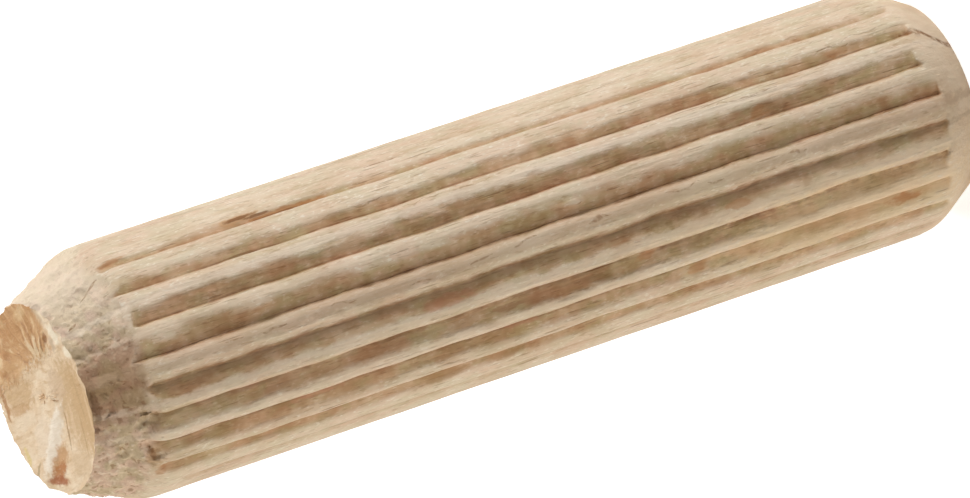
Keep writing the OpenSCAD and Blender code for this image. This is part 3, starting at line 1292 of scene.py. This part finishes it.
@dataclass(frozen=True)
class ShaftWood:
    """Bare beech on the shaft and both tapers, with burnished flutes and crushed ends, and with painted
    shade and painted highlights laid over the flutes, the crushed taper and the shaft.

    The radius and the reaches are in millimetres. A reach is of height, or of X on the crushed taper.
    """

    wood: Tint = (231, 207, 176)
    pink: Coat = Coat((231, 201, 172))
    olive: Coat = Coat((217, 201, 166), 0.6)
    silver: Coat = Coat((244, 230, 208), 0.3)
    fleck: Coat = Coat((250, 238, 218), 0.6)
    pore: Coat = Coat((184, 150, 114), 0.45)
    line: Coat = Coat((150, 112, 76), 0.5)
    fibre_reach: Range = (1.0, 2.4)
    turned: Coat = Coat((250, 226, 196))
    turned_reach: Range = (1.2, 2.6)
    turned_share: float = 0.7
    bruise: Coat = Coat(BRUISED, 0.5, Mix.DARKEN)
    # Burnished wood in the flutes, partly painted shade: it darkens and warms the wood as they deepen,
    # standing in for shade and warm bounce light
    pressed: Tint = (243, 232, 218)
    pressed_olive: Coat = Coat((234, 227, 204))
    pressed_blush: Coat = Coat((240, 219, 202))
    pressed_bruise: Coat = Coat(BRUISED, 0.7, Mix.DARKEN)
    pressed_fine: Coat = Coat(BRUISED, 0.6, Mix.DARKEN)
    pressed_rag: float = 0.25
    pressed_range: Range = (0.0, 0.42)
    pressed_edge: Range = (0.0, 0.1)
    # Painted shade: darkens the crease at the foot of each steep wall
    foot: Coat = Coat((212, 204, 201), mix=Mix.DARKEN)
    foot_shade_rag: float = 3.0
    crushed: Coat = Coat((238, 213, 182))
    crushed_dark: Tint = (192, 162, 132)
    crushed_pink: Tint = (226, 190, 166)
    crushed_olive: Coat = Coat((206, 186, 148))
    blotch_share: float = 0.55
    # Painted shade in the crumbs' low spots and painted highlights on their raised tops
    crumb_pit_shade: Coat = Coat((142, 98, 56), 0.5)
    crumb_highlight: Coat = Coat(CRUSHED_PAINTED_LIGHT, 0.7)
    # Painted shade in a band across the crushed taper's front, and painted light on its +X side, which the
    # right lamp faces
    front_shade: Coat = Coat((205, 190, 174), mix=Mix.DARKEN)
    front_shade_middle: float = -0.6
    front_shade_reach: Range = (2.4, 0.4)
    painted_light_side: Coat = Coat(CRUSHED_PAINTED_LIGHT, 0.75)
    painted_light_reach: Range = (1.0, 4.0)
    crack: Coat = Coat((144, 98, 56))
    broken: Speckle = Speckle((0.25, 0.25, 1.0), 2.0, 0.6, 0.35, 0.6)
    broken_least: float = 0.25
    rough: Range = (0.75, 0.6)
    specular: float = 0.2
    fibre_heights: Range = (0.7, 0.4)
    crumb_height: float = 1.2
    bump: float = 0.08 * MM
    pin_radius: float = 5.0
    cracks: tuple[Crack, ...] = (
        Crack((-31.5, 25.3), (-31.2, 23.8), 0.1, 0.8),
        Crack((-30.5, 18.0), (-28.0, 16.3)),
        Crack((-28.0, 16.3), (-27.2, 13.1), 0.04),
        Crack((-52.4, 27.2), (-53.2, 25.6)),
        Crack((-52.8, 6.1), (-52.6, 4.5)),
        Crack((-50.2, 4.7), (-50.4, 2.5), 0.04),
        Crack((-61.0, 25.2), (-61.6, 21.3), 0.04),
        Crack((-63.5, 11.0), (-63.6, 8.3)),
        Crack((-57.6, 2.3), (-58.4, 1.1), 0.26, 0.75),
        Crack((-58.2, 1.25), (-66.8, -0.1), 0.27, 0.9),
        Crack((-95.0, 34.3), (-94.8, 33.5), 0.07),
        Crack((-96.0, 32.6), (-95.8, 31.6), 0.08, 0.55),
        Crack((-95.0, 29.6), (-94.9, 28.5), 0.06),
        Crack((-96.6, 26.2), (-96.5, 25.3), 0.06),
        Crack((-96.7, 23.5), (-96.5, 22.5), 0.07),
        Crack((-94.6, 21.5), (-94.2, 20.5), 0.08, 0.55),
        Crack((-95.6, 18.2), (-95.2, 17.3), 0.09, 0.6),
        Crack((-94.2, 14.6), (-94.0, 13.2)),
        Crack((-95.4, 12.8), (-95.2, 12.0), 0.08),
        Crack((-95.6, 9.1), (-95.2, 8.2), 0.08, 0.55),
        Crack((-48.2, 38.53), (-45.2, 37.8), 0.09, 0.7),
        Crack((-62.2, 39.63), (-59.2, 39.27), 0.09, 0.7),
        Crack((-99.0, 39.04), (-96.2, 38.86), 0.07, 0.4),
        Crack((-96.2, 38.86), (-99.0, 38.4), 0.07, 0.4),
        Crack((-126.0, 39.35), (-133.0, 38.96), 0.07, 0.4),
        Crack((-133.0, 38.96), (-142.8, 38.3), 0.08, 0.45),
        Crack((-151.0, 39.78), (-154.8, 39.48), 0.05, 0.4),
        Crack((-154.8, 39.48), (-151.6, 39.17), 0.05, 0.4),
    )
    stains_and_painted_light: tuple[StainOrPaintedLight, ...] = (
        # Painted highlights: pale lines the whole length of the shaft on four flute lips
        StainOrPaintedLight(-64.8, 20.0, (0.2, 34.0), 0.45, (252, 232, 208)),
        StainOrPaintedLight(-79.6, 20.0, (0.15, 34.0), 0.4, (252, 228, 198)),
        StainOrPaintedLight(-112.8, 20.0, (0.2, 34.0), 0.4, (250, 228, 200)),
        StainOrPaintedLight(-127.8, 20.0, (0.2, 34.0), 0.35, (250, 228, 200)),
        # Painted shade: a dark line the whole length of the shaft at the root of the flute beside the
        # middle ridge
        StainOrPaintedLight(-105.0, 20.0, (0.16, 34.0), 0.35, (186, 156, 122)),
        StainOrPaintedLight(-132.0, 6.5, (1.5, 7.0), 0.4, (242, 210, 162)),
        StainOrPaintedLight(-112.0, 9.0, (0.5, 9.0), 0.3, (244, 216, 176)),
        StainOrPaintedLight(-37.6, 31.4, (0.22, 1.0), 0.65, (206, 156, 106)),
        StainOrPaintedLight(-37.4, 31.2, (0.09, 0.7), 0.85, (134, 88, 48)),
        StainOrPaintedLight(-39.0, 30.4, (0.07, 0.6), 0.8, (130, 86, 48)),
        StainOrPaintedLight(-40.9, 29.2, (0.16, 1.9), 0.75, (176, 120, 70)),
        StainOrPaintedLight(-41.4, 29.4, (0.07, 1.5), 0.85, (136, 90, 50)),
        StainOrPaintedLight(-109.0, 24.9, (0.26, 1.7), 0.5, (198, 132, 98)),
        StainOrPaintedLight(-133.5, 30.8, (0.2, 1.1), 0.5, (202, 138, 108)),
        StainOrPaintedLight(-133.2, 21.5, (0.18, 1.2), 0.45, (200, 138, 108)),
        StainOrPaintedLight(-122.0, 22.3, (0.12, 0.8), 0.5, (176, 124, 88)),
        StainOrPaintedLight(-149.0, 24.9, (0.3, 1.1), 0.55, (178, 136, 90)),
        StainOrPaintedLight(-149.5, 22.2, (0.2, 0.8), 0.5, (184, 134, 86)),
        StainOrPaintedLight(-135.6, 4.0, (0.25, 0.8), 0.7),
        StainOrPaintedLight(-135.6, 13.5, (0.25, 0.5), 0.5),
        StainOrPaintedLight(-109.5, 11.7, (0.2, 0.6), 0.5),
        StainOrPaintedLight(-120.2, 15.9, (0.2, 0.4), 0.5),
        StainOrPaintedLight(-71.5, 9.4, (0.22, 0.4), 0.5),
        StainOrPaintedLight(-54.8, 5.1, (0.2, 0.7), 0.4),
        StainOrPaintedLight(-38.4, 36.9, (0.13, 0.6), 0.6),
        StainOrPaintedLight(-149.5, 37.4, (0.22, 0.25), 0.45),
        StainOrPaintedLight(-141.0, 37.75, (0.5, 0.3), 0.5, (190, 146, 100)),
        StainOrPaintedLight(-139.0, 37.75, (0.3, 0.12), 0.65, (148, 104, 64)),
        StainOrPaintedLight(-137.6, 37.85, (0.12, 0.18), 0.6, (138, 96, 58)),
        # Painted shadow in the gap under the torn end's overhanging lip
        StainOrPaintedLight(-106.0, 39.72, (1.0, 0.14), 0.6, (116, 84, 58)),
        StainOrPaintedLight(-75.0, 2.3, (0.14, 0.22), 0.4, (138, 96, 58)),
        StainOrPaintedLight(-90.2, 1.95, (0.1, 0.25), 0.4, (128, 86, 48)),
        StainOrPaintedLight(-104.4, 2.1, (0.12, 0.3), 0.35, (138, 98, 60)),
        # Painted shade: a darker line the whole length of the middle ridge, which faces the front; the four
        # spots after it make it lighter and darker along its length
        StainOrPaintedLight(-94.6, 20.0, (0.36, 34.0), 0.45, (200, 168, 136)),
        StainOrPaintedLight(-95.5, 27.5, (0.45, 3.5), 0.3, (194, 164, 134)),
        StainOrPaintedLight(-95.2, 20.8, (0.3, 0.9), 0.35, (228, 206, 178)),
        StainOrPaintedLight(-95.5, 12.5, (0.4, 2.2), 0.35, (232, 212, 180)),
        StainOrPaintedLight(-95.8, 6.0, (0.4, 2.0), 0.3, (202, 172, 142)),
    )

    def make(self, patterns: WoodPatterns) -> bpy.types.Material:
        """Writes the material.

        Args:
            patterns: The shared node groups.

        Returns:
            The material.
        """
        sheet = MaterialSheet("beech_shaft")
        where = sheet.where()
        place = sheet.place(patterns.pin_place, Vector=where, Radius=self.pin_radius).outputs
        grain = sheet.place(patterns.grain, Vector=where).outputs
        bands = sheet.place(patterns.bands, Vector=where).outputs
        crumbs = sheet.place(patterns.crumbs, Vector=where).outputs
        crushed, flute = sheet.trait(Trait.CRUSHED), sheet.trait(Trait.PRESSED)
        depth = sheet.plus(flute, sheet.times(place["Edge"], self.pressed_rag))
        # The burnished floors and long walls, which also carry painted shade
        pressed = sheet.times(sheet.step(depth, *self.pressed_range), sheet.step(flute, *self.pressed_edge))

        wood = self.wood_colour(sheet, grain, bands, sheet.parts(where)["Z"])
        wood = sheet.blend(pressed, wood, self.burnish_and_shade_tint(sheet, bands), Mix.DARKEN)
        # Painted shade at the foot of the steep walls, broken into patches
        patchy_foot_shade = sheet.math("MAXIMUM", sheet.plus(sheet.times(place["Edge"], self.foot_shade_rag), 1.0), 0.0)
        wood = sheet.coat(wood, self.foot, sheet.times(sheet.trait(Trait.FOOT), patchy_foot_shade))
        wood = sheet.blend(crushed, wood, self.crushed_colour(sheet, crumbs, sheet.parts(where)["X"]))
        # Stains, with painted highlights on flute lips and painted shade in a flute root, on the middle
        # ridge and under the torn lip
        wood = self.stain_or_painted_light(sheet, patterns, place, wood)
        wood = sheet.coat(wood, self.crack, self.crack_mask(sheet, patterns, place["Wandering"]))

        fibres = sheet.times(grain["Height"], sheet.step(pressed, 0.0, 1.0, *self.fibre_heights))
        height = sheet.between(crushed, fibres, sheet.times(crumbs["Height"], self.crumb_height))
        return sheet.finish(
            Base_Color=wood,
            Roughness=sheet.step(pressed, 0.0, 1.0, *self.rough),
            Specular_IOR_Level=self.specular,
            Normal=sheet.bump(height, self.bump),
        )

    def wood_colour(self, sheet: NodeSheet, grain: Sockets, bands: Sockets, height: Value) -> Socket:
        """Mixes the colour of the turned wood, which is smoother on the clean taper."""
        fibre = sheet.step(height, *self.fibre_reach)
        wood = sheet.coat(shade(self.wood), self.pink, grain["Tone"])
        wood = sheet.coat(wood, self.olive, bands["Patches"])
        wood = sheet.coat(wood, self.silver, grain["Streaks"])
        wood = sheet.coat(wood, self.fleck, grain["Flecks"])
        wood = sheet.coat(wood, self.pore, grain["Pores"], fibre)
        wood = sheet.coat(wood, self.line, grain["Lines"], fibre)
        wood = sheet.coat(wood, self.turned, sheet.step(height, *self.turned_reach, self.turned_share, 0.0))
        return sheet.coat(wood, self.bruise, bands["Bruise"])

    def burnish_and_shade_tint(self, sheet: NodeSheet, bands: Sockets) -> Socket:
        """Mixes the tint that darkens and warms the wood where the rollers burnished it, partly painted
        shade and warm bounce light in the flutes.
        """
        tint = sheet.coat(shade(self.pressed), self.pressed_olive, bands["Patches"])
        tint = sheet.coat(tint, self.pressed_blush, bands["Blush"])
        tint = sheet.coat(tint, self.pressed_bruise, bands["Bruise"])
        return sheet.coat(tint, self.pressed_fine, bands["Fine"])

    def crushed_colour(self, sheet: NodeSheet, crumbs: Sockets, across: Value) -> Socket:
        """Mixes the colour of the crushed taper, with painted light towards +X and painted shade in a band
        across its front.
        """
        rough = sheet.coat(shade(self.crushed_dark), self.crushed, crumbs["Shade"])
        blotch = sheet.coat(shade(self.crushed_pink), self.crushed_olive, crumbs["Blotches"])
        rough = sheet.blend(self.blotch_share, rough, blotch)
        # Painted shade in the crumbs' low spots, then painted highlights on their raised tops
        rough = sheet.coat(rough, self.crumb_pit_shade, crumbs["Dark"])
        rough = sheet.coat(rough, self.crumb_highlight, crumbs["Pale"])
        # Painted shade across the taper's front, then painted light on its +X side
        off = sheet.math("ABSOLUTE", sheet.plus(across, -self.front_shade_middle))
        rough = sheet.coat(rough, self.front_shade, sheet.step(off, *self.front_shade_reach))
        return sheet.coat(rough, self.painted_light_side, sheet.step(across, *self.painted_light_reach))

    def at(self, angle: float, height: float) -> Sizes:
        """Turns an angle in degrees and a height into a place on the shaft."""
        return (math.radians(angle) * self.pin_radius, height, 0.0)

    def crack_mask(self, sheet: NodeSheet, patterns: WoodPatterns, wandering: Value) -> Socket:
        """Joins the masks of all the cracks."""
        whole: Value = 0.0
        for crack in self.cracks:
            ends = {"From": self.at(*crack.start), "To": self.at(*crack.end)}
            line = sheet.place(patterns.line, Place=wandering, Width=crack.width, **ends)
            whole = sheet.math("MAXIMUM", whole, sheet.times(line.outputs["Mask"], crack.strength))
        gaps = sheet.mask(sheet.speckle(wandering, self.broken), self.broken, self.broken_least)
        return sheet.times(whole, gaps)

    def stain_or_painted_light(self, sheet: NodeSheet, patterns: WoodPatterns, place: Sockets, wood: Value) -> Socket:
        """Lays all the stains, painted highlights and painted shade over the wood's colour."""
        for stain_or_painted_light in self.stains_and_painted_light:
            values = {"Middle": self.at(stain_or_painted_light.angle, stain_or_painted_light.height), "Size": (*stain_or_painted_light.sizes, 1.0)}
            patch = sheet.place(patterns.patch, Place=place["Place"], Edge=place["Edge"], **values)
            wood = sheet.coat(wood, Coat(stain_or_painted_light.tint, stain_or_painted_light.strength), patch.outputs["Mask"])
        return wood


@dataclass(frozen=True)
class Patch:
    """A patch of one colour on the torn face.

    The middle and the half sizes are in millimetres, and the turn is in degrees from the X axis.
    """

    middle: Spot
    sizes: Spot
    turn: float
    tint: Tint
    strength: float


@dataclass(frozen=True)
class TornWood:
    """The torn end: warm fresh wood, an orange fan of torn fibres, a painted highlight along the fold with
    a painted shadow line beside it, a pale lip, and a tan facet.

    Places and ranges on the face are in millimetres.
    """

    cream: Tint = (228, 198, 160)
    pale: Coat = Coat((240, 216, 184))
    blotches: Speckle = Speckle((0.5, 0.9, 1.0), 3.0, 0.55, 0.38, 0.62)
    tan: Coat = Coat((205, 168, 122), 0.6)
    streaks: Speckle = Speckle((0.28, 1.1, 1.0), 3.0, 0.6, 0.52, 0.7)
    fleck: Coat = Coat((240, 216, 184), 0.25)
    fine: Speckle = Speckle((0.12, 0.3, 1.0), 2.0, 0.6, 0.56, 0.72)
    brown: Tint = (170, 118, 68)
    orange: Coat = Coat((201, 152, 100))
    orange_range: Range = (0.3, 0.5)
    straw: Coat = Coat((232, 201, 154), 0.8)
    straw_range: Range = (0.52, 0.68)
    fan_share: float = 0.9
    fan_middle: Spot = FAN_MIDDLE
    fan_stroke: tuple[float, float] = (math.radians(9), 1.1)
    fan_detail: float = 3.0
    fan_roughness: float = 0.6
    fan_bend: float = 0.16
    fan_rag: float = 2.2
    fan_edge: Range = (0.1, 0.8)
    fan_side: Range = (-2.0, -1.2)
    patch_rag: float = 0.6
    roughness: float = 0.7
    specular: float = 0.3
    streak_height: float = 0.8
    fine_height: float = 0.4
    bump: float = 0.08 * MM
    patches: tuple[Patch, ...] = (
        Patch((0.4, 2.5), (0.8, 1.5), 0.0, (203, 166, 119), 0.75),
        Patch((-0.2, 3.0), (0.25, 1.1), 0.0, (196, 154, 108), 0.6),
        Patch((-0.7, 2.7), (0.3, 1.3), 0.0, (236, 212, 180), 0.7),
        Patch((-0.8, -2.5), (2.3, 1.9), 0.0, (208, 174, 130), 0.95),
        Patch((-1.0, -3.0), (1.9, 0.9), 0.0, (202, 164, 116), 0.6),
        Patch((0.2, -1.2), (0.7, 0.8), 0.0, (216, 186, 152), 0.7),
        Patch((-3.0, -1.3), (0.6, 1.2), 0.0, (218, 188, 150), 0.8),
        Patch((-1.5, 1.3), (1.3, 0.9), 120.0, (238, 216, 188), 0.6),
        # Painted highlight along the fold's crest
        Patch((-1.8, 0.55), (2.1, 0.42), 129.0, (248, 232, 210), 0.95),
        Patch((-2.55, 0.6), (0.95, 0.42), 120.0, (196, 146, 94), 0.85),
        Patch((-2.95, 0.95), (0.75, 0.32), 112.0, (178, 116, 64), 0.85),
        Patch((-3.3, 1.25), (0.85, 0.2), 80.0, (160, 92, 46), 0.9),
        # Painted shadow: a thin dark line beside the fold's crest
        Patch((-1.6, -0.8), (0.8, 0.08), 163.0, (172, 134, 92), 0.75),
        Patch((-1.9, -2.2), (0.9, 0.1), 170.0, (190, 152, 106), 0.6),
        Patch((-0.6, -2.9), (1.1, 0.1), 175.0, (192, 156, 110), 0.55),
        Patch((-1.3, -3.4), (0.9, 0.12), 172.0, (226, 194, 152), 0.6),
        Patch((-1.4, -1.5), (0.9, 0.18), 168.0, (226, 196, 158), 0.6),
        Patch((2.8, -2.0), (0.45, 0.35), 0.0, (244, 226, 196), 0.9),
        Patch((2.0, -2.7), (0.55, 0.35), 40.0, (246, 230, 202), 0.95),
        Patch((1.2, -3.4), (0.5, 0.3), 70.0, (246, 230, 202), 0.95),
        Patch((1.65, -2.25), (0.34, 0.32), 0.0, (204, 178, 148), 0.85),
        Patch((-2.0, 3.3), (0.45, 0.2), 20.0, (226, 200, 136), 0.8),
        Patch((-2.7, 2.6), (0.6, 0.12), 130.0, (172, 146, 106), 0.7),
        Patch((0.2, 3.85), (0.8, 0.16), 0.0, (176, 124, 74), 0.8),
    )
    petals: tuple[Patch, ...] = (
        Patch((2.7, 1.2), (0.7, 0.8), 0.0, (186, 136, 84), 0.55),
        Patch((2.3, 2.2), (0.3, 0.9), 40.0, (178, 126, 76), 0.5),
        Patch((3.2, -0.2), (0.25, 0.7), 10.0, (232, 200, 152), 0.6),
        Patch((1.3, 2.0), (0.35, 0.9), 10.0, (214, 172, 124), 0.6),
        Patch((1.75, 0.02), (0.62, 0.16), 25.0, (234, 206, 166), 0.9),
        Patch((1.8, -0.45), (0.6, 0.14), -6.0, (234, 206, 166), 0.9),
        Patch((1.72, -0.88), (0.55, 0.15), -27.0, (230, 200, 158), 0.9),
        Patch((1.5, -1.3), (0.5, 0.16), -48.0, (230, 200, 158), 0.85),
        Patch((2.0, -0.2), (0.55, 0.08), 9.0, (164, 118, 72), 0.85),
        Patch((1.98, -0.67), (0.5, 0.08), -16.0, (164, 118, 72), 0.85),
        Patch((1.85, -1.12), (0.45, 0.09), -37.0, (160, 114, 70), 0.85),
        Patch((2.0, -1.6), (0.3, 0.16), -50.0, (150, 102, 60), 0.8),
    )

    def make(self, patterns: WoodPatterns) -> bpy.types.Material:
        """Writes the material.

        Args:
            patterns: The shared node groups.

        Returns:
            The material.
        """
        sheet = MaterialSheet("beech_torn")
        where = sheet.where()
        edge = sheet.place(patterns.pin_place, Vector=where, Radius=1.0).outputs["Edge"]
        level = sheet.vector("MULTIPLY", where, (1, 1, 0))
        looks = (self.streaks, self.blotches, self.fine)
        streaks, blotches, fine = (sheet.speckle(level, look) for look in looks)
        wood = sheet.coat(shade(self.cream), self.pale, sheet.mask(blotches, self.blotches))
        wood = sheet.coat(wood, self.tan, sheet.mask(streaks, self.streaks))
        wood = self.lay(sheet, patterns, level, edge, wood, self.patches)
        fan, strokes = self.fan(sheet, level, edge)
        torn = sheet.coat(shade(self.brown), self.orange, sheet.step(strokes, *self.orange_range))
        torn = sheet.coat(torn, self.straw, sheet.step(strokes, *self.straw_range))
        wood = sheet.blend(sheet.times(fan, self.fan_share), wood, torn)
        wood = self.lay(sheet, patterns, level, edge, wood, self.petals)
        wood = sheet.coat(wood, self.fleck, sheet.mask(fine, self.fine))
        height = sheet.plus(sheet.times(streaks, self.streak_height), sheet.times(fine, self.fine_height))
        height = sheet.plus(height, sheet.times(strokes, fan))
        return sheet.finish(
            Base_Color=wood,
            Roughness=self.roughness,
            Specular_IOR_Level=self.specular,
            Normal=sheet.bump(height, self.bump),
        )

    def lay(
        self,
        sheet: NodeSheet,
        patterns: WoodPatterns,
        level: Value,
        edge: Value,
        wood: Value,
        patches: tuple[Patch, ...],
    ) -> Socket:
        """Lays patches over the wood's colour.

        Args:
            sheet: The material's sheet.
            patterns: The shared node groups.
            level: The place on the face in millimetres.
            edge: Values that make an edge uneven.
            wood: The colour under the patches.
            patches: The patches, the lowest first.

        Returns:
            The mixed colour.
        """
        for patch in patches:
            made = sheet.place(
                patterns.patch,
                Place=level,
                Middle=(*patch.middle, 0.0),
                Size=(*patch.sizes, 1.0),
                Turn=math.radians(patch.turn),
                Edge=sheet.times(edge, self.patch_rag),
            )
            wood = sheet.coat(wood, Coat(patch.tint, patch.strength), made.outputs["Mask"])
        return wood

    def fan(self, sheet: NodeSheet, level: Value, edge: Value) -> tuple[Socket, Socket]:
        """Spreads strokes in a fan over the upper part of the face.

        Args:
            sheet: The material's sheet.
            level: The place on the face in millimetres.
            edge: Values that make an edge uneven.

        Returns:
            The fan's mask, and its strokes, both about 0 to 1.
        """
        from_middle = sheet.vector("SUBTRACT", level, (*self.fan_middle, 0.0))
        parts = sheet.parts(from_middle)
        up, left = parts["X"], parts["Y"]
        width, length = self.fan_stroke
        turn = sheet.math("DIVIDE", sheet.math("ARCTAN2", left, up), width)
        polar = sheet.joined(turn, sheet.math("DIVIDE", sheet.number("LENGTH", from_middle), length))
        strokes = sheet.noise(polar, self.fan_detail, self.fan_roughness)
        sideways = sheet.plus(up, sheet.times(left, self.fan_bend))
        uneven = sheet.plus(sideways, sheet.times(edge, self.fan_rag))
        return sheet.times(sheet.step(uneven, *self.fan_edge), sheet.step(left, *self.fan_side)), strokes


def report(name: str, obj: Object) -> None:
    """Logs a piece's name and its triangles."""
    count = sum(len(p.vertices) - 2 for p in obj.data.polygons)
    LOG.info("%s: %d triangles", name, count)


def main() -> None:
    """Builds the pin and the studio around it."""
    logging.basicConfig(level=logging.INFO, format="%(name)s: %(message)s")
    mounts = {mount["name"]: mount for mount in frame["record"]["mounts"]}
    radius = mounts[SHAFT_MOUNT]["dims"]["r_mm"] * MM
    pin = DowelPin(Blank(radius=radius, length=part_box(NODE)[1][2]))
    wood = pin.build()
    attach(wood, BODY)
    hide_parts(NODE)
    report(PIECE, wood)
    Studio().set_up()


if __name__ == "__main__":
    main()
